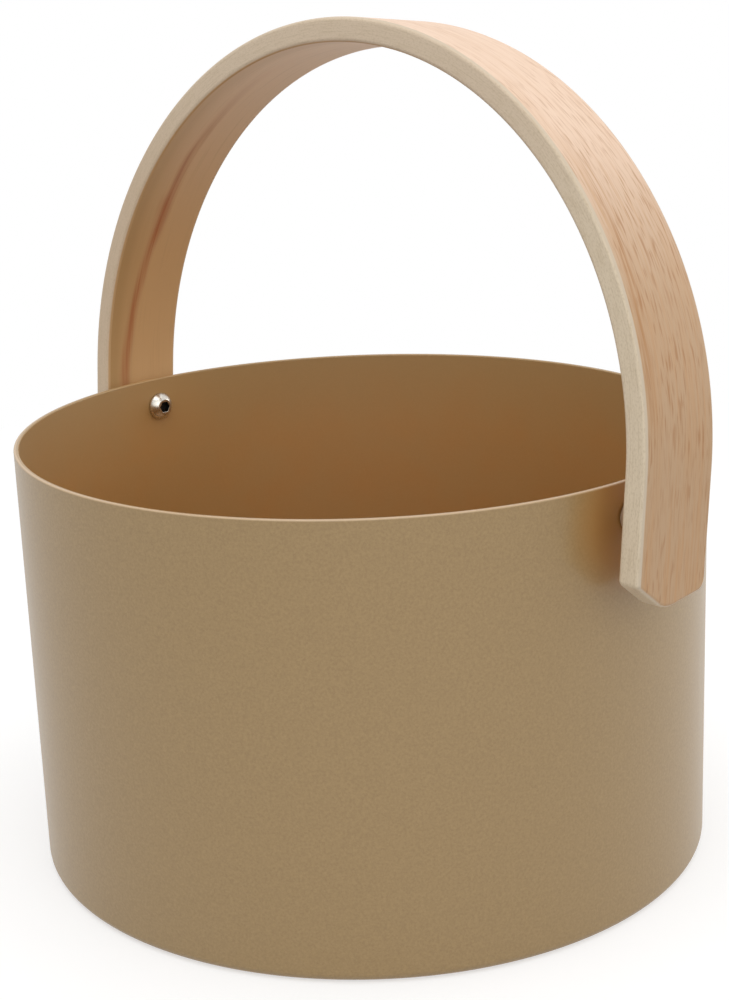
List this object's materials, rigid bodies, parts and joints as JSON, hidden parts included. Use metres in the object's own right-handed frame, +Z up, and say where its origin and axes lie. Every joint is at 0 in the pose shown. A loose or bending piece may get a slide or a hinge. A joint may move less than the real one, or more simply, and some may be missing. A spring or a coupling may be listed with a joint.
{
  "type": "sauna bucket",
  "caption": "Straight round metal sauna bucket with a plain cut rim and a wide bent-wood strap handle that swings on screws through the wall.",
  "frame": {"origin": "middle of the base's underside, on the surface that the bucket stands on", "axes": "+Z up along the bucket's axis; the handle's legs and its screws lie on X; -Y is the front, and the handle leans back a little towards +Y"},
  "size_m": [0.2764, 0.24, 0.2877],
  "materials": {
    "coated_aluminium": "matt gold-beige metallic coating with a fine speckle, inside and out",
    "bent_wood": "pale fine-sanded hardwood with short dark flecks along the grain, thin matt oil",
    "stainless_steel": "bright stainless steel",
    "plain_aluminium": "turned, plain",
    "brass": "turned, plain"
  },
  "bodies": {
    "bucket": {"bucket_body": "coated_aluminium"},
    "handle": {"handle_strap": "bent_wood", "pivot_screw_left": "stainless_steel", "pivot_screw_right": "stainless_steel", "spacer_left": "plain_aluminium", "spacer_right": "plain_aluminium", "threaded_insert_left": "brass", "threaded_insert_right": "brass"}
  },
  "joints": [
    {"name": "handle_swing", "type": "hinge", "parent": "bucket", "child": "handle", "pos_m": [0, 0, 0.139], "axis": [1, 0, 0], "range_deg": [-109.5, 119.5]}
  ]
}
